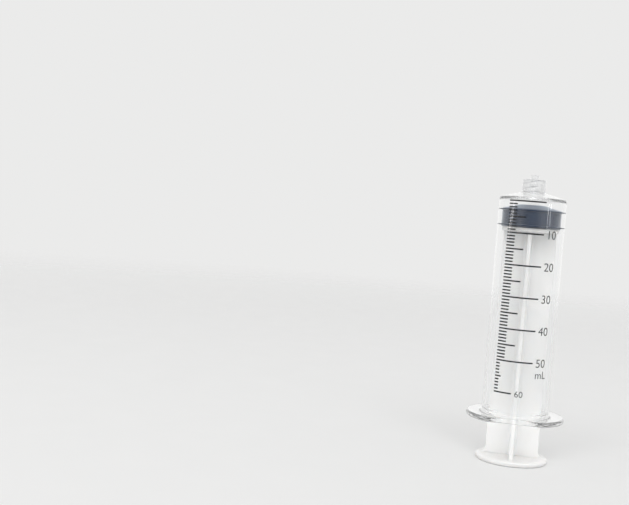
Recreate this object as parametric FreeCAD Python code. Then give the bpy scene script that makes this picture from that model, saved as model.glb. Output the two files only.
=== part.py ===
import FreeCAD, Part
import math
import os

# Luer lock syringe, 60 mL, of three moulded pieces: barrel, rubber stopper and plunger rod.
# It stands on its thumb press with the tip up. The origin is the centre of the thumb press's face,
# +Z runs to the tip, the scale faces -Y and the wings of the finger flange reach along X.
# All sizes are in millimetres.

# Barrel tube
bore_d = 29.05
wall_t = 1.35
scale_ml = 60.0             # last mark of the scale, which with the bore decides how long the tube is
scale_to_flange = 11.475    # from the last mark back to the flange's front face
ridge_from_mouth = 3.4      # middle of the retention ridge, from the barrel's rear face
ridge_h = 0.35
ridge_w = 2.0
mouth_lead_in = 0.8         # radial size of the flared mouth
mouth_depth = 1.3

# Finger flange
flange_wing = 7.375         # from the tube out to the end of a wing
flange_side = 3.125         # from the tube out to the flats between the wings
flange_t = 2.4
flange_corner_r = 3.5
flange_edge_r = 0.8
flange_root_r = 1.4

# Nose
nose_angle = 15.0           # slope of the stopper's cone and of the barrel's nose, from the horizontal
nose_flat_d = 12.0
nose_t = 1.5                # along the axis
shoulder_r = 1.3

# Luer tip and lock collar, to the common 6 % luer taper
tip_end_d = 3.97
tip_taper = 0.06
tip_len = 8.4
tip_edge_r = 0.25
tip_beyond_collar = 2.1
lumen_d = 2.4
lumen_funnel = 0.6          # depth and radial size of the funnel inside the nose
collar_bore_d = 8.0
collar_d = 11.0
collar_draft = 0.12         # radial, over the collar's height
collar_root_r = 0.6
collar_root_land = 0.1      # flat between the collar's root and the nose's slope
collar_lip_r = 0.45

# Stopper
rib_pitch = 7.32            # between the two seal ribs
rib_w = 0.9
rib_land = 0.15             # between a rib and the cone or the rear face
stopper_relief = 0.625      # radial, from the bore to the stopper's body
stopper_edge_r = 1.6        # between cone and flat
stopper_skirt_r = 0.3       # rear edge
lip_t = 2.2                 # undercut lip behind the rod's head

# Plunger rod
rod_rib_t = 1.7             # at the outer edge
rod_rib_root_t = 2.2        # at the axis
rod_root_r = 1.6
rod_rib_inset = 0.9         # radial, from the pusher disc to the ribs' outer edge
rod_rib_foot_r = 3.0        # where the thumb press's flat leaves room for it
rod_rib_edge_r = 0.35       # along the ribs' outer edges
pusher_t = 1.8
pusher_edge_r = 0.3
neck_d = 13.6
head_d = 18.4
head_land = 1.5
head_edge_r = 0.25
head_nose_d = 13.0
head_nose_h = 2.6

# Thumb press
thumb_d = 34.0
thumb_t = 2.6
thumb_edge_r = 1.1
groove_w = 1.0
groove_depth = 0.25
groove_first_d = 14.0
groove_pitch = 2.6          # radial
groove_count = 3

# Clearances and the resting place
seal_clearance = 0.03       # radial, rib to bore
home_clearance = 0.15       # axial, stopper's cone to the nose when pushed home
snap_clearance = 0.1        # all round the rod's head, neck and pusher disc
ridge_clearance = 0.75      # radial, pusher disc to retention ridge
home_gap = 13.8             # thumb press to flange when pushed home
rest_ml = 2.77              # where the stopper's front rib stands

# Worked out from the sizes above
bore_r = bore_d / 2
barrel_r = bore_r + wall_t
slope = math.tan(math.radians(nose_angle))
mm_per_ml = 1000 / (math.pi * bore_r ** 2)
rest_travel = rest_ml * mm_per_ml
mouth_z = thumb_t + home_gap + rest_travel
flange_front_z = mouth_z + flange_t
zero_z = flange_front_z + scale_to_flange + scale_ml * mm_per_ml
front_rib_z = zero_z - rest_travel
rear_rib_z = front_rib_z - rib_pitch
stopper_r = bore_r - stopper_relief
cone_rise = (stopper_r - nose_flat_d / 2) * slope
stopper_cone_z = front_rib_z + rib_w / 2 + rib_land
stopper_top_z = stopper_cone_z + cone_rise
stopper_rear_z = rear_rib_z - rib_w / 2 - rib_land - stopper_skirt_r
ridge_z = mouth_z + ridge_from_mouth
pusher_r = bore_r - ridge_h - ridge_clearance


def revolved(edges):
    """The solid of revolution about Z of a closed profile in the XZ plane."""
    face = Part.Face(Part.Wire(edges))
    return face.revolve(FreeCAD.Vector(0, 0, 0), FreeCAD.Vector(0, 0, 1), 360)


def profile(*steps):
    """Edges of a closed XZ outline. A step is (x, z), or (x, z, x_mid, z_mid) for an arc to that point."""
    points = [FreeCAD.Vector(step[0], 0, step[1]) for step in steps]
    edges = []
    for index, step in enumerate(steps):
        start = points[index - 1]
        if len(step) == 4:
            middle = FreeCAD.Vector(step[2], 0, step[3])
            edges.append(Part.Arc(start, middle, points[index]).toShape())
        elif start.distanceToPoint(points[index]) > 1e-6:
            edges.append(Part.LineSegment(start, points[index]).toShape())
    return edges


def rounded(x, z, radius, start, end):
    """Two profile steps that round the corner at (x, z). start and end are the angles, in degrees, of the
    directions from the corner back along the first side and on along the second."""
    turn = math.radians(((end - start + 180) % 360) - 180)
    reach = radius / math.tan(abs(turn) / 2)
    along_in = math.radians(start)
    along_out = math.radians(end)
    middle = along_in + turn / 2
    to_centre = radius / math.sin(abs(turn) / 2)
    x_in = x + reach * math.cos(along_in)
    z_in = z + reach * math.sin(along_in)
    x_out = x + reach * math.cos(along_out)
    z_out = z + reach * math.sin(along_out)
    x_mid = x + (to_centre - radius) * math.cos(middle)
    z_mid = z + (to_centre - radius) * math.sin(middle)
    return (x_in, z_in), (x_out, z_out, x_mid, z_mid)


def flange_plate():
    """Round plate with two flats between its wings, its corners and edges rounded."""
    wing_r = barrel_r + flange_wing
    half = barrel_r + flange_side
    disc = Part.makeCylinder(wing_r, flange_t, FreeCAD.Vector(0, 0, mouth_z))
    corner = FreeCAD.Vector(-wing_r - 1, -half, mouth_z)
    plate = disc.common(Part.makeBox(2 * wing_r + 2, 2 * half, flange_t, corner))
    upright = [edge for edge in plate.Edges if abs(edge.tangentAt(edge.FirstParameter).z) > 0.99]
    corners = [edge for edge in upright if abs(abs(edge.CenterOfMass.y) - half) < 1e-3]
    plate = plate.makeFillet(flange_corner_r, corners)
    rim = [edge for edge in plate.Edges if edge.BoundBox.ZLength < 1e-6]
    return plate.makeFillet(flange_edge_r, rim)


def barrel():
    """Tube, flange, nose, luer tip and lock collar, moulded in one."""
    inner_cone_z = zero_z + rib_w / 2 + rib_land + home_clearance
    inner_flat_z = inner_cone_z + cone_rise
    bore_end_z = inner_cone_z - stopper_relief * slope
    outer_flat_z = inner_flat_z + nose_t
    collar_r = collar_d / 2
    outer_flat_r = collar_r + collar_root_r + collar_root_land
    shoulder_z = outer_flat_z - (barrel_r - outer_flat_r) * slope
    tip_top_z = outer_flat_z + tip_len
    collar_top_z = tip_top_z - tip_beyond_collar
    root_z = flange_front_z + flange_root_r
    root_mid = flange_root_r * (1 - math.sqrt(0.5))
    outside = profile(
        (0, mouth_z + flange_t / 2),
        (barrel_r + flange_root_r, mouth_z + flange_t / 2),
        (barrel_r + flange_root_r, flange_front_z),
        (barrel_r, root_z, barrel_r + root_mid, flange_front_z + root_mid),
        *rounded(barrel_r, shoulder_z, shoulder_r, 270, 180 - nose_angle),
        (outer_flat_r, outer_flat_z),
        *rounded(collar_r, outer_flat_z, collar_root_r, 0, 90),
        *rounded(collar_r - collar_draft, collar_top_z, collar_lip_r, 270, 180),
        (collar_bore_d / 2, collar_top_z),
        (collar_bore_d / 2, outer_flat_z),
        (tip_end_d / 2 + tip_taper / 2 * tip_len, outer_flat_z),
        (tip_end_d / 2 + tip_taper / 2 * tip_edge_r, tip_top_z - tip_edge_r),
        (tip_end_d / 2 - tip_edge_r, tip_top_z),
        (0, tip_top_z),
    )
    ridge_low_z = ridge_z - ridge_w / 2
    ridge_high_z = ridge_z + ridge_w / 2
    lumen_r = lumen_d / 2
    inside = profile(
        (0, mouth_z - 1),
        (bore_r + mouth_lead_in, mouth_z - 1),
        (bore_r + mouth_lead_in, mouth_z),
        (bore_r, mouth_z + mouth_depth),
        (bore_r, ridge_low_z),
        (bore_r, ridge_high_z, bore_r - ridge_h, ridge_z),
        (bore_r, bore_end_z),
        (nose_flat_d / 2, inner_flat_z),
        (lumen_r + lumen_funnel, inner_flat_z),
        (lumen_r, inner_flat_z + lumen_funnel),
        (lumen_r, tip_top_z + 1),
        (0, tip_top_z + 1),
    )
    solid = revolved(outside).fuse(flange_plate())
    return solid.cut(revolved(inside)).removeSplitter()


def stopper():
    """Rubber stopper: conical front, two thin seal ribs, and an undercut seat for the rod's head."""
    crest_r = bore_r - seal_clearance
    half = rib_w / 2
    lip_r = neck_d / 2 + snap_clearance
    seat_r = head_d / 2 + snap_clearance
    seat_nose_r = head_nose_d / 2 + snap_clearance
    seat_low_z = stopper_rear_z + lip_t
    seat_land_z = seat_low_z + head_land + 2 * snap_clearance
    seat_top_z = seat_land_z + head_nose_h
    return revolved(profile(
        (0, seat_top_z),
        (seat_nose_r, seat_top_z),
        (seat_r, seat_land_z),
        (seat_r, seat_low_z),
        (lip_r, seat_low_z),
        (lip_r, stopper_rear_z),
        *rounded(stopper_r, stopper_rear_z, stopper_skirt_r, 180, 90),
        (stopper_r, rear_rib_z - half),
        (stopper_r, rear_rib_z + half, crest_r, rear_rib_z),
        (stopper_r, front_rib_z - half),
        (stopper_r, front_rib_z + half, crest_r, front_rib_z),
        (stopper_r, stopper_cone_z),
        *rounded(nose_flat_d / 2, stopper_top_z, stopper_edge_r, -nose_angle, 180),
        (0, stopper_top_z),
    ))


def rod_ribs(pusher_low_z):
    """Four crossed ribs, thinner at the edge, with rounded roots. They spread at the thumb press and at the
    pusher disc, and run into the middle of both."""
    rib_r = pusher_r - rod_rib_inset
    foot_round = min(rod_rib_foot_r, thumb_d / 2 - thumb_edge_r - rib_r)
    foot_r = rib_r + foot_round
    head_r = pusher_r - pusher_edge_r
    edge_r = max(foot_r, head_r)
    top_z = pusher_low_z + pusher_t / 2
    tip_half = rod_rib_t / 2
    root_half = rod_rib_root_t / 2
    height = top_z - thumb_t / 2
    cross = None
    for quarter in range(4):
        outline = [
            FreeCAD.Vector(0, -root_half, 0),
            FreeCAD.Vector(edge_r, -tip_half, 0),
            FreeCAD.Vector(edge_r, tip_half, 0),
            FreeCAD.Vector(0, root_half, 0),
            FreeCAD.Vector(0, -root_half, 0),
        ]
        rib = Part.Face(Part.makePolygon(outline)).extrude(FreeCAD.Vector(0, 0, height))
        rib.rotate(FreeCAD.Vector(0, 0, 0), FreeCAD.Vector(0, 0, 1), 90 * quarter)
        cross = rib if cross is None else cross.fuse(rib)
    cross = cross.removeSplitter()
    upright = [edge for edge in cross.Edges if edge.BoundBox.ZLength > height / 2]
    roots = [edge for edge in upright if math.hypot(edge.CenterOfMass.x, edge.CenterOfMass.y) < rod_rib_root_t]
    cross = cross.makeFillet(rod_root_r, roots)
    cross.translate(FreeCAD.Vector(0, 0, thumb_t / 2))
    foot_mid = foot_round * (1 - math.sqrt(0.5))
    head_round = head_r - rib_r
    head_mid = head_round * (1 - math.sqrt(0.5))
    envelope = revolved(profile(
        (0, thumb_t / 2),
        (foot_r, thumb_t / 2),
        (foot_r, thumb_t),
        (rib_r, thumb_t + foot_round, rib_r + foot_mid, thumb_t + foot_mid),
        (rib_r, pusher_low_z - head_round),
        (head_r, pusher_low_z, rib_r + head_mid, pusher_low_z - head_mid),
        (head_r, top_z),
        (0, top_z),
    ))
    ribs = cross.common(envelope)
    outer = [edge for edge in ribs.Edges if edge.BoundBox.ZLength > rod_rib_edge_r
             and math.hypot(edge.CenterOfMass.x, edge.CenterOfMass.y) > rib_r - rod_rib_edge_r]
    return ribs.makeFillet(rod_rib_edge_r, outer)


def plunger_rod():
    """Thumb press, cross ribs, pusher disc and snap head, moulded in one."""
    thumb_r = thumb_d / 2
    pusher_top_z = stopper_rear_z - snap_clearance
    pusher_low_z = pusher_top_z - pusher_t
    head_low_z = stopper_rear_z + lip_t + snap_clearance
    press = revolved(profile(
        (0, 0),
        *rounded(thumb_r, 0, thumb_edge_r, 180, 90),
        *rounded(thumb_r, thumb_t, thumb_edge_r, 270, 180),
        (0, thumb_t),
    ))
    for index in range(groove_count):
        middle = groove_first_d / 2 + index * groove_pitch
        ring = profile(
            (middle - groove_w / 2, 0),
            (middle + groove_w / 2, 0, middle, groove_depth),
        )
        press = press.cut(revolved(ring))
    front = revolved(profile(
        (0, pusher_low_z),
        *rounded(pusher_r, pusher_low_z, pusher_edge_r, 180, 90),
        *rounded(pusher_r, pusher_top_z, pusher_edge_r, 270, 180),
        (neck_d / 2, pusher_top_z),
        (neck_d / 2, head_low_z),
        *rounded(head_d / 2, head_low_z, head_edge_r, 180, 90),
        (head_d / 2, head_low_z + head_land),
        (head_nose_d / 2, head_low_z + head_land + head_nose_h - snap_clearance),
        (0, head_low_z + head_land + head_nose_h - snap_clearance),
    ))
    solid = press.fuse([rod_ribs(pusher_low_z), front])
    return solid.removeSplitter()


pieces = {"barrel": barrel(), "stopper": stopper(), "plunger_rod": plunger_rod()}

os.makedirs("parts", exist_ok=True)
for name, shape in pieces.items():
    if shape.ShapeType == "Compound" and len(shape.Solids) == 1:
        shape = shape.Solids[0]
    box = shape.BoundBox
    print(name, "valid", shape.isValid(), "solids", len(shape.Solids), "volume", round(shape.Volume, 1),
          "z", round(box.ZMin, 3), round(box.ZMax, 3), "x", round(box.XLength, 3), "y", round(box.YLength, 3))
    shape.exportStep("parts/" + name + ".step")

print("0 mL line at z", round(zero_z, 4), "and", round(mm_per_ml, 5), "mm for each mL")
print("travel home", round(rest_travel, 4), "and out", round(stopper_rear_z - ridge_z - ridge_w / 2, 4))
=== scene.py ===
import math

import bmesh
import bpy
from mathutils import Matrix, Vector


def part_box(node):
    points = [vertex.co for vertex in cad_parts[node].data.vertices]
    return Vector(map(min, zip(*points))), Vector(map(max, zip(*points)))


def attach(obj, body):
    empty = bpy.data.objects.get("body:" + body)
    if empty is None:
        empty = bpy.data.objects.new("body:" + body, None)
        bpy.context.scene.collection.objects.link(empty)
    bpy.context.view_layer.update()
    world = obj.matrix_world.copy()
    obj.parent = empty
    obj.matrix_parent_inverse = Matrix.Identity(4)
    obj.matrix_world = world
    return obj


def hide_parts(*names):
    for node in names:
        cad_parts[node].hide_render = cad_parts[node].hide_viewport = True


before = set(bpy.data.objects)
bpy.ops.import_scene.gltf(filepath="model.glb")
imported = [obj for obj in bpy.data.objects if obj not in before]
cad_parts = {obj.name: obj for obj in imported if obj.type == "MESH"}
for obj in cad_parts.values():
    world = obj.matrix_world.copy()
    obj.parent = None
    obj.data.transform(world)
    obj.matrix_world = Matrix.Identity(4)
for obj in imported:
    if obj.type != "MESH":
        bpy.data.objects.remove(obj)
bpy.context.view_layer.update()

MM = 0.001


# Barrel. One clear polypropylene moulding: tube, finger flange, sloping nose, luer tip and lock collar. It is
# injection moulded round a core pin, and the collar's double thread is formed by a core that screws out.
# It is drawn as one closed section turned about the axis, then the flange and the thread are shaped.
barrel_low, barrel_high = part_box("barrel")
mouth_z = barrel_low.z
tip_top_z = barrel_high.z
wing_r = barrel_high.x
flange_half = barrel_high.y

bore_r = 14.525 * MM
wall_t = 1.35 * MM
tube_r = bore_r + wall_t
flange_t = 2.4 * MM
flange_edge_r = 0.8 * MM
flange_corner_r = 3.5 * MM
flange_root_r = 1.4 * MM
mouth_lead_in = 0.8 * MM
mouth_depth = 1.3 * MM
ridge_from_mouth = 3.4 * MM
ridge_half = 1.0 * MM
ridge_h = 0.35 * MM

nose_slope = math.tan(math.radians(15))
nose_t = 1.5 * MM
inner_flat_r = 6.0 * MM
outer_flat_r = 6.2 * MM
shoulder_r = 1.3 * MM
lumen_r = 1.2 * MM
lumen_funnel = 0.6 * MM
barrel_columns = 240
barrel_creases = 30
ridge_points = 9

tip_len = 8.4 * MM
tip_end_r = 1.985 * MM
tip_root_r = 2.237 * MM
collar_root_r = 5.5 * MM
collar_top_r = 5.38 * MM
collar_bore_r = 4.0 * MM
tip_beyond_collar = 2.1 * MM
thread_h = 0.5 * MM
thread_pitch = 2.5 * MM
thread_starts = 2
thread_crest_half = 0.22 * MM
thread_flank = 0.42 * MM
thread_run_in = 0.6 * MM
thread_row = 0.1 * MM
thread_first_row = 3
thread_last_row = 61
thread_from_top = 0.25 * MM

stretch_hold = 0.25 * MM
arc_step = math.radians(12)
least_arc_steps = 3

flange_front_z = mouth_z + flange_t
collar_floor_z = tip_top_z - tip_len
collar_top_z = tip_top_z - tip_beyond_collar
inner_flat_z = collar_floor_z - nose_t
bore_end_z = inner_flat_z - (bore_r - inner_flat_r) * nose_slope
shoulder_z = collar_floor_z - (tube_r - outer_flat_r) * nose_slope


def rounded_outline(corners):
    """Outline of a section whose corners are (radius, height) or (radius, height, rounding). Each straight
    stretch has a point close to both its ends, so that smooth shading turns only where the roundings are."""
    outline = []
    for index, corner in enumerate(corners):
        here = Vector(corner[:2])
        if len(corner) == 2:
            outline.append(here)
            continue
        back = (Vector(corners[index - 1][:2]) - here).normalized()
        ahead = (Vector(corners[(index + 1) % len(corners)][:2]) - here).normalized()
        half = back.angle(ahead) / 2
        middle = here + (back + ahead).normalized() * corner[2] / math.sin(half)
        start = here + back * corner[2] / math.tan(half) - middle
        end = here + ahead * corner[2] / math.tan(half) - middle
        steps = max(least_arc_steps, math.ceil((math.pi - 2 * half) / arc_step))
        outline += [middle + start.slerp(end, step / steps) * corner[2] for step in range(steps + 1)]
    held = []
    for point, following in zip(outline, outline[1:] + outline[:1]):
        held.append(point)
        along = following - point
        if along.length > 3 * stretch_hold and (point.x > 0 or following.x > 0):
            held += [point + along.normalized() * stretch_hold, following - along.normalized() * stretch_hold]
    return held


def turned(name, outline, columns):
    """Mesh object of an outline turned about Z. An end on the axis becomes a pole, and without one the
    outline closes on itself, as round a tube's wall."""
    poles = outline[0].x < 1e-9
    body = bmesh.new()
    angles = [2 * math.pi * column / columns for column in range(columns)]
    rings = []
    for radius, z in outline:
        if radius < 1e-9:
            rings.append([body.verts.new((0, 0, z))])
            continue
        rings.append([body.verts.new((radius * math.cos(a), radius * math.sin(a), z)) for a in angles])
    for index in range(len(rings) - 1 if poles else len(rings)):
        low, high = rings[index], rings[(index + 1) % len(rings)]
        for column in range(columns):
            ahead = (column + 1) % columns
            below = [low[column % len(low)], low[ahead % len(low)]]
            above = [high[ahead % len(high)], high[column % len(high)]]
            body.faces.new(dict.fromkeys(below + above))
    bmesh.ops.recalc_face_normals(body, faces=body.faces)
    mesh = bpy.data.meshes.new(name)
    body.to_mesh(mesh)
    body.free()
    piece = bpy.data.objects.new(name, mesh)
    bpy.context.scene.collection.objects.link(piece)
    return piece


def soften(piece, sharp_above):
    """Smooth shading, with creases where faces meet at more than that many degrees."""
    piece.data.shade_smooth()
    piece.data.set_sharp_from_angle(angle=math.radians(sharp_above))


def rim_radius(angle, inset):
    """How far the flange's outline, moved in by inset, lies from the axis. Its wings are round, and its
    front and back are flat."""
    across, along = abs(math.cos(angle)), abs(math.sin(angle))
    corner_y = flange_half - flange_corner_r
    corner_x = math.sqrt((wing_r - flange_corner_r) ** 2 - corner_y ** 2)
    if math.atan2(along, across) >= math.atan2(flange_half - inset, corner_x):
        return (flange_half - inset) / along
    if math.atan2(along, across) <= math.atan2(corner_y, corner_x):
        return wing_r - inset
    nearest = corner_x * across + corner_y * along
    corner_r = flange_corner_r - inset
    return nearest + math.sqrt(corner_r ** 2 - corner_x ** 2 - corner_y ** 2 + nearest ** 2)


def thread_height(angle, z):
    """How far the right-handed double thread stands in from the collar's wall."""
    turn = (z - collar_floor_z) / thread_pitch - thread_starts * angle / (2 * math.pi)
    from_crest = abs(turn % 1 - 0.5) * thread_pitch
    flank = min(max((thread_crest_half + thread_flank - from_crest) / thread_flank, 0), 1)
    from_top = min(max((collar_top_z - z) / thread_run_in, 0), 1)
    from_floor = min(max((z - collar_floor_z) / thread_run_in, 0), 1)
    return thread_h * flank * flank * (3 - 2 * flank) * from_top * from_floor


collar_rows = []
for row in range(thread_first_row, thread_last_row + 1):
    collar_rows.append((collar_bore_r, collar_top_z - row * thread_row))
ridge_rows = []
for row in range(ridge_points):
    along = row / (ridge_points - 1) * 2 - 1
    ridge_z = mouth_z + ridge_from_mouth - ridge_half * along
    ridge_rows.append((bore_r - ridge_h * (1 - along * along), ridge_z))
barrel = turned("barrel_moulding", rounded_outline([
    (bore_r + mouth_lead_in, mouth_z, 0.15 * MM),
    (wing_r, mouth_z, flange_edge_r),
    (wing_r, flange_front_z, flange_edge_r),
    (tube_r, flange_front_z, flange_root_r),
    (tube_r, shoulder_z, shoulder_r),
    (outer_flat_r, collar_floor_z, 0.5 * MM),
    (collar_root_r, collar_floor_z, 0.6 * MM),
    (collar_top_r, collar_top_z, 0.45 * MM),
    (collar_bore_r, collar_top_z, 0.18 * MM),
    *collar_rows,
    (collar_bore_r, collar_floor_z, 0.1 * MM),
    (tip_root_r, collar_floor_z, 0.15 * MM),
    (tip_end_r, tip_top_z, 0.25 * MM),
    (lumen_r, tip_top_z, 0.1 * MM),
    (lumen_r, inner_flat_z + lumen_funnel, 0.2 * MM),
    (lumen_r + lumen_funnel, inner_flat_z, 0.1 * MM),
    (inner_flat_r, inner_flat_z, 0.5 * MM),
    (bore_r, bore_end_z, 0.3 * MM),
    *ridge_rows,
    (bore_r, mouth_z + mouth_depth, 0.3 * MM),
]), barrel_columns)
for vertex in barrel.data.vertices:
    radius = math.hypot(vertex.co.x, vertex.co.y)
    angle = math.atan2(vertex.co.y, vertex.co.x)
    wanted = radius
    if radius > tube_r + 2 * flange_root_r:
        wanted = rim_radius(angle, wing_r - radius)
    elif abs(radius - collar_bore_r) < 1e-7 and vertex.co.z < collar_top_z - thread_from_top:
        wanted = radius - thread_height(angle, vertex.co.z)
    vertex.co.x *= wanted / radius
    vertex.co.y *= wanted / radius
soften(barrel, barrel_creases)


def pattern(material, scale, detail, stretch=(1, 1, 1)):
    """Output of a noise texture on the piece's own coordinates, with scale in waves to the metre."""
    nodes, links = material.node_tree.nodes, material.node_tree.links
    place = nodes.new("ShaderNodeTexCoord")
    size = nodes.new("ShaderNodeMapping")
    size.inputs["Scale"].default_value = stretch
    noise = nodes.new("ShaderNodeTexNoise")
    noise.inputs["Scale"].default_value = scale
    noise.inputs["Detail"].default_value = detail
    links.new(place.outputs["Object"], size.inputs["Vector"])
    links.new(size.outputs["Vector"], noise.inputs["Vector"])
    return noise.outputs["Fac"]


def between(material, value, low, high):
    """The pattern's usual range, 0.3 to 0.7, spread from low to high."""
    spread = material.node_tree.nodes.new("ShaderNodeMapRange")
    spread.inputs["From Min"].default_value = 0.3
    spread.inputs["From Max"].default_value = 0.7
    spread.inputs["To Min"].default_value = low
    spread.inputs["To Max"].default_value = high
    material.node_tree.links.new(value, spread.inputs["Value"])
    return spread.outputs["Result"]


def relief(material, value, strength, depth, under=None):
    """Normal output of a bump, on top of another bump's normal if one is given."""
    bump = material.node_tree.nodes.new("ShaderNodeBump")
    bump.inputs["Strength"].default_value = strength
    bump.inputs["Distance"].default_value = depth
    material.node_tree.links.new(value, bump.inputs["Height"])
    if under is not None:
        material.node_tree.links.new(under, bump.inputs["Normal"])
    return bump.outputs["Normal"]


def lets_lamps_through(material, share):
    """Lamps reach what lies behind the plastic: each of its faces passes that share of their light."""
    nodes, links = material.node_tree.nodes, material.node_tree.links
    path = nodes.new("ShaderNodeLightPath")
    clear = nodes.new("ShaderNodeBsdfTransparent")
    clear.inputs["Color"].default_value = (share, share, share, 1)
    choose = nodes.new("ShaderNodeMixShader")
    links.new(path.outputs["Is Shadow Ray"], choose.inputs["Fac"])
    links.new(nodes["Principled BSDF"].outputs["BSDF"], choose.inputs[1])
    links.new(clear.outputs["BSDF"], choose.inputs[2])
    links.new(choose.outputs["Shader"], nodes["Material Output"].inputs["Surface"])


frost_start = collar_floor_z + 0.2 * MM
frost_full = collar_floor_z + 0.4 * MM
frost_roughness = 0.3


def clear_polypropylene():
    """Clear and glossy up to the collar's floor, and lightly frosted above it, on tip and collar."""
    material = bpy.data.materials.new("clear_polypropylene")
    material.use_nodes = True
    nodes, links = material.node_tree.nodes, material.node_tree.links
    shader = nodes["Principled BSDF"]
    shader.inputs["Base Color"].default_value = (0.995, 0.998, 1, 1)
    shader.inputs["Transmission Weight"].default_value = 1
    shader.inputs["IOR"].default_value = 1.49
    flow = pattern(material, 260, 3, (1, 1, 0.12))
    place = nodes.new("ShaderNodeTexCoord")
    height = nodes.new("ShaderNodeSeparateXYZ")
    links.new(place.outputs["Object"], height.inputs["Vector"])
    frosted = nodes.new("ShaderNodeMapRange")
    frosted.inputs["From Min"].default_value = frost_start
    frosted.inputs["From Max"].default_value = frost_full
    frosted.inputs["To Min"].default_value = 0
    frosted.inputs["To Max"].default_value = frost_roughness
    links.new(height.outputs["Z"], frosted.inputs["Value"])
    finish = nodes.new("ShaderNodeMath")
    finish.operation = "ADD"
    links.new(between(material, flow, 0.015, 0.05), finish.inputs[0])
    links.new(frosted.outputs["Result"], finish.inputs[1])
    links.new(finish.outputs["Value"], shader.inputs["Roughness"])
    waves = pattern(material, 90, 1, (1, 1, 0.3))
    grain = pattern(material, 2600, 2)
    fine = relief(material, grain, 0.05, 0.01 * MM)
    links.new(relief(material, waves, 0.06, 0.02 * MM, fine), shader.inputs["Normal"])
    depth_tint = nodes.new("ShaderNodeVolumeAbsorption")
    depth_tint.inputs["Color"].default_value = (0.82, 0.83, 0.835, 1)
    depth_tint.inputs["Density"].default_value = 8
    links.new(depth_tint.outputs["Volume"], nodes["Material Output"].inputs["Volume"])
    lets_lamps_through(material, 0.995)
    return material


barrel.data.materials.append(clear_polypropylene())
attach(barrel, "barrel")
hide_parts("barrel")


# Scale. Black ink, screen printed on the outside of the tube and cured, so it stands a hair proud of it.
# Lines mark each millilitre, longer ones each fifth, and the longest each tenth with its number. The last
# ten lines, past the nominal 50 mL, are shorter. Angles are in degrees from the front towards the right.
scale_last_ml = 60
scale_nominal_ml = 50
scale_to_flange = 11.475 * MM
ml_pitch = 1e-6 / (math.pi * bore_r ** 2)
zero_z = flange_front_z + scale_to_flange + scale_last_ml * ml_pitch
ink_t = 0.035 * MM
ink_sunk = 0.006 * MM
line_w = 0.68 * MM
line_bevel = 0.07 * MM
line_left = -41.5
line_step = 1.5
tenth_right = 23.4
fifth_right = -9.2
unit_right = -25.5
last_right = -8.9
last_fifth_right = -29.8
last_unit_right = -33.6
figure_h = 3.85 * MM
last_figure_h = 2.8 * MM
unit_word_h = 3.5 * MM
figure_right = 48.0
last_figure_right = 10.5
unit_word_right = 51.6
unit_word_below = 1.84 * MM
cap_height = 0.682
stroke_thinning = -0.004
figure_cut_pitch = 0.35 * MM
figure_cuts = range(-6, 44)
same_point = 0.0005 * MM


def on_tube(along, z):
    """The point of the tube's surface that far round to the right of the front, at that height."""
    angle = along / tube_r
    reach = tube_r - ink_sunk
    return Vector((reach * math.sin(angle), -reach * math.cos(angle), z))


def printed(name, body):
    """Piece of a flat ink pattern in x and z: bent on the tube, and given its thickness outward."""
    for vertex in body.verts:
        vertex.co = on_tube(vertex.co.x, vertex.co.z)
    bmesh.ops.recalc_face_normals(body, faces=body.faces)
    for face in body.faces:
        if face.normal.dot(face.calc_center_median() * Vector((1, 1, 0))) < 0:
            face.normal_flip()
    mesh = bpy.data.meshes.new(name)
    body.to_mesh(mesh)
    body.free()
    piece = bpy.data.objects.new(name, mesh)
    bpy.context.scene.collection.objects.link(piece)
    thickness = piece.modifiers.new("ink", "SOLIDIFY")
    thickness.thickness = ink_t
    thickness.offset = 1
    return piece


def line_end(ml):
    """Angle of a line's right end."""
    if ml == scale_last_ml:
        return last_right
    if ml % 10 == 0:
        return tenth_right
    if ml > scale_nominal_ml:
        return last_unit_right if ml % 5 else last_fifth_right
    return unit_right if ml % 5 else fifth_right


lines = bmesh.new()
for ml in range(scale_last_ml + 1):
    line_z = zero_z - ml * ml_pitch
    start = math.radians(line_left) * tube_r
    end = math.radians(line_end(ml)) * tube_r
    steps = math.ceil((line_end(ml) - line_left) / line_step)
    stops = [start + (end - start) * step / steps for step in range(steps + 1)]
    stops = [start, start + line_bevel, *stops[1:-1], end - line_bevel, end]
    columns = []
    for stop in stops:
        half = line_w / 2 if start < stop < end else line_w / 2 - line_bevel
        columns.append([lines.verts.new((stop, 0, line_z + side * half)) for side in (-1, 1)])
    for left, right in zip(columns, columns[1:]):
        lines.faces.new((left[0], right[0], right[1], left[1]))
scale_lines = printed("scale_lines", lines)

figures = bmesh.new()
wording = [(str(ml), figure_right, zero_z - ml * ml_pitch, figure_h) for ml in range(10, scale_last_ml, 10)]
wording.append((str(scale_last_ml), last_figure_right, zero_z - scale_last_ml * ml_pitch, last_figure_h))
unit_z = zero_z - scale_nominal_ml * ml_pitch - figure_h / 2 - unit_word_below - unit_word_h / 2
wording.append(("mL", unit_word_right, unit_z, unit_word_h))
for words, right, middle_z, height in wording:
    curve = bpy.data.curves.new("figure_" + words, "FONT")
    curve.body = words
    curve.size = height / cap_height
    curve.offset = stroke_thinning * curve.size
    drawn = bpy.data.objects.new("figure_" + words, curve)
    bpy.context.scene.collection.objects.link(drawn)
    bpy.context.view_layer.update()
    outline = bpy.data.meshes.new_from_object(drawn)
    rightmost = max(vertex.co.x for vertex in outline.vertices)
    shift = math.radians(right) * tube_r - rightmost
    foot_z = middle_z - height / 2
    outline.transform(Matrix(((1, 0, 0, shift), (0, 0, 1, 0), (0, 1, 0, foot_z), (0, 0, 0, 1))))
    figures.from_mesh(outline)
    bpy.data.objects.remove(drawn)
    bpy.data.curves.remove(curve)
    bpy.data.meshes.remove(outline)
bmesh.ops.remove_doubles(figures, verts=figures.verts, dist=same_point)
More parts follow.
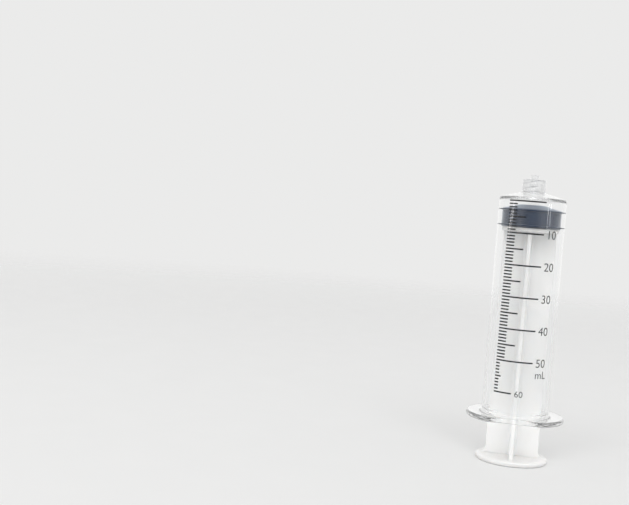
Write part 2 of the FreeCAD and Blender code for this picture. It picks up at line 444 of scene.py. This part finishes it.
for cut in figure_cuts:
    geometry = figures.verts[:] + figures.edges[:] + figures.faces[:]
    cut_at = (cut * figure_cut_pitch, 0, 0)
    bmesh.ops.bisect_plane(figures, geom=geometry, plane_co=cut_at, plane_no=(1, 0, 0))
scale_figures = printed("scale_figures", figures)


def scale_ink():
    material = bpy.data.materials.new("scale_ink")
    material.use_nodes = True
    nodes, links = material.node_tree.nodes, material.node_tree.links
    shader = nodes["Principled BSDF"]
    density = pattern(material, 900, 3)
    shade = nodes.new("ShaderNodeMix")
    shade.data_type = "RGBA"
    shade.inputs["A"].default_value = (0.005, 0.006, 0.007, 1)
    shade.inputs["B"].default_value = (0.015, 0.016, 0.018, 1)
    links.new(between(material, density, 0, 1), shade.inputs["Factor"])
    links.new(shade.outputs["Result"], shader.inputs["Base Color"])
    links.new(between(material, pattern(material, 3000, 2), 0.42, 0.6), shader.inputs["Roughness"])
    links.new(relief(material, pattern(material, 5000, 2), 0.3, 0.008 * MM), shader.inputs["Normal"])
    shader.inputs["Specular IOR Level"].default_value = 0.2
    shader.inputs["Coat Weight"].default_value = 0.6
    shader.inputs["Coat Roughness"].default_value = 0.04
    return material


ink = scale_ink()
for piece in (scale_lines, scale_figures):
    piece.data.materials.append(ink)
    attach(piece, "barrel")


# Stopper. One synthetic rubber moulding, dark slate, wiped with silicone oil. Its two thin ribs are
# squeezed against the bore, so here they reach a hair into the wall. Its back is hollow and undercut for the
# rod's head.
stopper_low, stopper_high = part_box("stopper")
stopper_r = 13.9 * MM
crest_r = bore_r + 0.03 * MM
rib_half = 0.45 * MM
crest_half = 0.24 * MM
front_edge_r = 1.6 * MM
rib_below_top = 2.717 * MM
rib_spacing = 7.32 * MM
seat_lip_r = 6.9 * MM
seat_lip_t = 2.2 * MM
seat_r = 9.3 * MM
seat_land = 1.7 * MM
seat_nose_r = 6.6 * MM
seat_nose_h = 2.6 * MM
stopper_columns = 192
stopper_creases = 40

stopper_top_z = stopper_high.z
stopper_rear_z = stopper_low.z
cone_base_z = stopper_top_z - (stopper_r - inner_flat_r) * nose_slope
front_rib_z = stopper_top_z - rib_below_top
seat_z = stopper_rear_z + seat_lip_t
rib_corners = []
for rib_z in (front_rib_z - rib_spacing, front_rib_z):
    rib_corners += [
        (stopper_r, rib_z - rib_half, 0.08 * MM),
        (crest_r, rib_z - crest_half, 0.12 * MM),
        (crest_r, rib_z + crest_half, 0.12 * MM),
        (stopper_r, rib_z + rib_half, 0.08 * MM),
    ]
stopper = turned("stopper_rubber", rounded_outline([
    (0, seat_z + seat_land + seat_nose_h),
    (seat_nose_r, seat_z + seat_land + seat_nose_h, 0.4 * MM),
    (seat_r, seat_z + seat_land, 0.4 * MM),
    (seat_r, seat_z, 0.25 * MM),
    (seat_lip_r, seat_z, 0.25 * MM),
    (seat_lip_r, stopper_rear_z, 0.3 * MM),
    (stopper_r, stopper_rear_z, 0.3 * MM),
    *rib_corners,
    (stopper_r, cone_base_z, 0.12 * MM),
    (inner_flat_r, stopper_top_z, front_edge_r),
    (0, stopper_top_z),
]), stopper_columns)
soften(stopper, stopper_creases)


def stopper_rubber():
    material = bpy.data.materials.new("stopper_rubber")
    material.use_nodes = True
    nodes, links = material.node_tree.nodes, material.node_tree.links
    shader = nodes["Principled BSDF"]
    shade = nodes.new("ShaderNodeMix")
    shade.data_type = "RGBA"
    shade.inputs["A"].default_value = (0.018, 0.031, 0.060, 1)
    shade.inputs["B"].default_value = (0.029, 0.046, 0.084, 1)
    cloud = pattern(material, 170, 3, (1, 1, 0.35))
    links.new(between(material, cloud, 0, 1), shade.inputs["Factor"])
    links.new(shade.outputs["Result"], shader.inputs["Base Color"])
    links.new(between(material, pattern(material, 600, 3), 0.34, 0.5), shader.inputs["Roughness"])
    links.new(relief(material, pattern(material, 5200, 3), 0.35, 0.012 * MM), shader.inputs["Normal"])
    shader.inputs["Specular IOR Level"].default_value = 0.2
    shader.inputs["Sheen Weight"].default_value = 1
    shader.inputs["Sheen Roughness"].default_value = 0.35
    shader.inputs["Sheen Tint"].default_value = (0.8, 0.88, 0.96, 1)
    return material


stopper.data.materials.append(stopper_rubber())
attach(stopper, "stopper")
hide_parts("stopper")


# Plunger rod. One moulding of natural polypropylene, which is milky and lets light through: thumb press, four
# crossed ribs, pusher disc, and the head that snaps into the stopper. Its form is the frame's own.
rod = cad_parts["plunger_rod"]


def natural_polypropylene():
    material = bpy.data.materials.new("natural_polypropylene")
    material.use_nodes = True
    nodes, links = material.node_tree.nodes, material.node_tree.links
    shader = nodes["Principled BSDF"]
    shade = nodes.new("ShaderNodeMix")
    shade.data_type = "RGBA"
    shade.inputs["A"].default_value = (0.83, 0.835, 0.83, 1)
    shade.inputs["B"].default_value = (0.88, 0.88, 0.875, 1)
    cloud = pattern(material, 90, 3, (1, 1, 0.4))
    links.new(between(material, cloud, 0, 1), shade.inputs["Factor"])
    links.new(shade.outputs["Result"], shader.inputs["Base Color"])
    shader.inputs["IOR"].default_value = 1.49
    shader.inputs["Subsurface Weight"].default_value = 0.8
    shader.inputs["Subsurface Radius"].default_value = (6.0 * MM, 6.5 * MM, 7.0 * MM)
    shader.inputs["Subsurface Scale"].default_value = 1
    links.new(between(material, pattern(material, 420, 3), 0.3, 0.42), shader.inputs["Roughness"])
    links.new(relief(material, pattern(material, 2400, 3), 0.3, 0.015 * MM), shader.inputs["Normal"])
    return material


rod.data.materials.clear()
rod.data.materials.append(natural_polypropylene())


# Floor. A plain pale table top that fades into the same pale surroundings before any horizon shows.
floor_r = 2.2
fade_from = 0.45
fade_to = 1.5
pale = (0.83, 0.83, 0.825, 1)

disc = bmesh.new()
bmesh.ops.create_circle(disc, cap_ends=True, segments=128, radius=floor_r)
floor_mesh = bpy.data.meshes.new("floor")
disc.to_mesh(floor_mesh)
disc.free()
floor = bpy.data.objects.new("floor", floor_mesh)
bpy.context.scene.collection.objects.link(floor)


def table_top():
    material = bpy.data.materials.new("table_top")
    material.use_nodes = True
    nodes, links = material.node_tree.nodes, material.node_tree.links
    shader = nodes["Principled BSDF"]
    shader.inputs["Base Color"].default_value = pale
    shader.inputs["Specular IOR Level"].default_value = 0.15
    links.new(between(material, pattern(material, 40, 3), 0.55, 0.7), shader.inputs["Roughness"])
    place = nodes.new("ShaderNodeTexCoord")
    away = nodes.new("ShaderNodeVectorMath")
    away.operation = "LENGTH"
    fade = nodes.new("ShaderNodeMapRange")
    fade.interpolation_type = "SMOOTHSTEP"
    fade.inputs["From Min"].default_value = fade_from
    fade.inputs["From Max"].default_value = fade_to
    clear = nodes.new("ShaderNodeBsdfTransparent")
    choose = nodes.new("ShaderNodeMixShader")
    links.new(place.outputs["Object"], away.inputs[0])
    links.new(away.outputs["Value"], fade.inputs["Value"])
    links.new(fade.outputs["Result"], choose.inputs["Fac"])
    links.new(shader.outputs["BSDF"], choose.inputs[1])
    links.new(clear.outputs["BSDF"], choose.inputs[2])
    links.new(choose.outputs["Shader"], nodes["Material Output"].inputs["Surface"])
    return material


floor.data.materials.append(table_top())


# Light. Pale even surroundings, which surfaces mirror as dimmer on the side where the camera stands, two
# broad soft lamps high to the left and right of the camera, and small lamps at the stopper's height that
# draw the short bright lines on the barrel over it.
surround_light = 0.68
side_brightness = 1.35
front_dimming = 0.05
front_from = 0.8
front_to = 1
world = bpy.data.worlds.new("surroundings")
bpy.context.scene.world = world
world.use_nodes = True
sky, wires = world.node_tree.nodes, world.node_tree.links
seen = sky.new("ShaderNodeBackground")
seen.inputs["Color"].default_value = pale
seen.inputs["Strength"].default_value = 1
lit = sky["Background"]
lit.inputs["Color"].default_value = (1, 1, 1, 1)
lit.inputs["Strength"].default_value = surround_light
mirrored = sky.new("ShaderNodeBackground")
mirrored.inputs["Color"].default_value = pale
toward = sky.new("ShaderNodeTexCoord")
forward = sky.new("ShaderNodeVectorMath")
forward.operation = "DOT_PRODUCT"
forward.inputs[1].default_value = (0, -1, 0)
wires.new(toward.outputs["Generated"], forward.inputs[0])
dimming = sky.new("ShaderNodeMapRange")
dimming.interpolation_type = "SMOOTHSTEP"
dimming.inputs["From Min"].default_value = front_from
dimming.inputs["From Max"].default_value = front_to
dimming.inputs["To Min"].default_value = side_brightness
dimming.inputs["To Max"].default_value = front_dimming
wires.new(forward.outputs["Value"], dimming.inputs["Value"])
wires.new(dimming.outputs["Result"], mirrored.inputs["Strength"])
path = sky.new("ShaderNodeLightPath")
shown = sky.new("ShaderNodeMath")
shown.operation = "MAXIMUM"
wires.new(path.outputs["Is Camera Ray"], shown.inputs[0])
wires.new(path.outputs["Is Transmission Ray"], shown.inputs[1])
in_sight = sky.new("ShaderNodeMixShader")
wires.new(shown.outputs["Value"], in_sight.inputs["Fac"])
wires.new(lit.outputs["Background"], in_sight.inputs[1])
wires.new(seen.outputs["Background"], in_sight.inputs[2])
only_mirrored = sky.new("ShaderNodeMath")
only_mirrored.operation = "SUBTRACT"
only_mirrored.use_clamp = True
wires.new(path.outputs["Is Glossy Ray"], only_mirrored.inputs[0])
wires.new(path.outputs["Is Transmission Ray"], only_mirrored.inputs[1])
reflected = sky.new("ShaderNodeMixShader")
wires.new(only_mirrored.outputs["Value"], reflected.inputs["Fac"])
wires.new(in_sight.outputs["Shader"], reflected.inputs[1])
wires.new(mirrored.outputs["Background"], reflected.inputs[2])
wires.new(reflected.outputs["Shader"], sky["World Output"].inputs["Surface"])

lamp_height = 0.12
softbox_azimuth = 22
softbox_elevation = 42
softbox_distance = 4
softbox_size = 2.2
softbox_power = 39
small_lamp_distance = 0.6
line_azimuths = (56, 64.5)
line_lamp_size = 0.026


def lamp(name, azimuth, elevation, distance, width, height, power, tilt=0):
    """Area lamp aimed at the stopper's height. Azimuth 0 is in front and 90 to the right, in degrees."""
    light = bpy.data.lights.new(name, "AREA")
    light.shape = "RECTANGLE"
    light.size = width
    light.size_y = height
    light.energy = power
    piece = bpy.data.objects.new(name, light)
    bpy.context.scene.collection.objects.link(piece)
    turn, rise = math.radians(azimuth), math.radians(elevation)
    out = Vector((math.sin(turn) * math.cos(rise), -math.cos(turn) * math.cos(rise), math.sin(rise)))
    facing = out.to_track_quat("Z", "Y").to_matrix().to_4x4() @ Matrix.Rotation(math.radians(tilt), 4, "Z")
    piece.matrix_world = Matrix.Translation(Vector((0, 0, lamp_height)) + out * distance) @ facing
    piece.visible_camera = False
    piece.visible_transmission = False
    return piece


for side, azimuth in (("left", -softbox_azimuth), ("right", softbox_azimuth)):
    lamp(
        f"softbox_{side}", azimuth, softbox_elevation, softbox_distance,
        width=softbox_size, height=softbox_size, power=softbox_power,
    )
lamp("streak_left", -70.6, 0, small_lamp_distance, width=0.15, height=0.02, power=0.05, tilt=9)
for azimuth in line_azimuths:
    lamp(
        f"line_right_{azimuth:.0f}", azimuth, 0.3, small_lamp_distance,
        width=line_lamp_size, height=line_lamp_size, power=0.018,
    )


# Camera. It stands half a metre in front at the height of the scale's upper end, turned a little to the left
# and tilted, so that the syringe stands to the right of the middle and leans.
view_distance = 0.50998
view_below_zero = 11.34 * MM
view_turn = math.radians(11.595)
view_dip = math.radians(2.394)
view_lean = math.radians(4.474)
lens = bpy.data.cameras.new("camera")
lens.sensor_width = 36
lens.lens = 59.52
camera = bpy.data.objects.new("camera", lens)
bpy.context.scene.collection.objects.link(camera)
stand = Matrix.Translation((0, -view_distance, zero_z - view_below_zero))
aim = Matrix.Rotation(view_turn, 4, "Z") @ Matrix.Rotation(math.pi / 2 - view_dip, 4, "X")
camera.matrix_world = stand @ aim @ Matrix.Rotation(view_lean, 4, "Z")
bpy.context.scene.camera = camera
bpy.context.scene.view_settings.view_transform = "Standard"
bpy.context.scene.cycles.max_bounces = 32
bpy.context.scene.cycles.glossy_bounces = 28
bpy.context.scene.cycles.transmission_bounces = 28
bpy.context.scene.cycles.transparent_max_bounces = 24
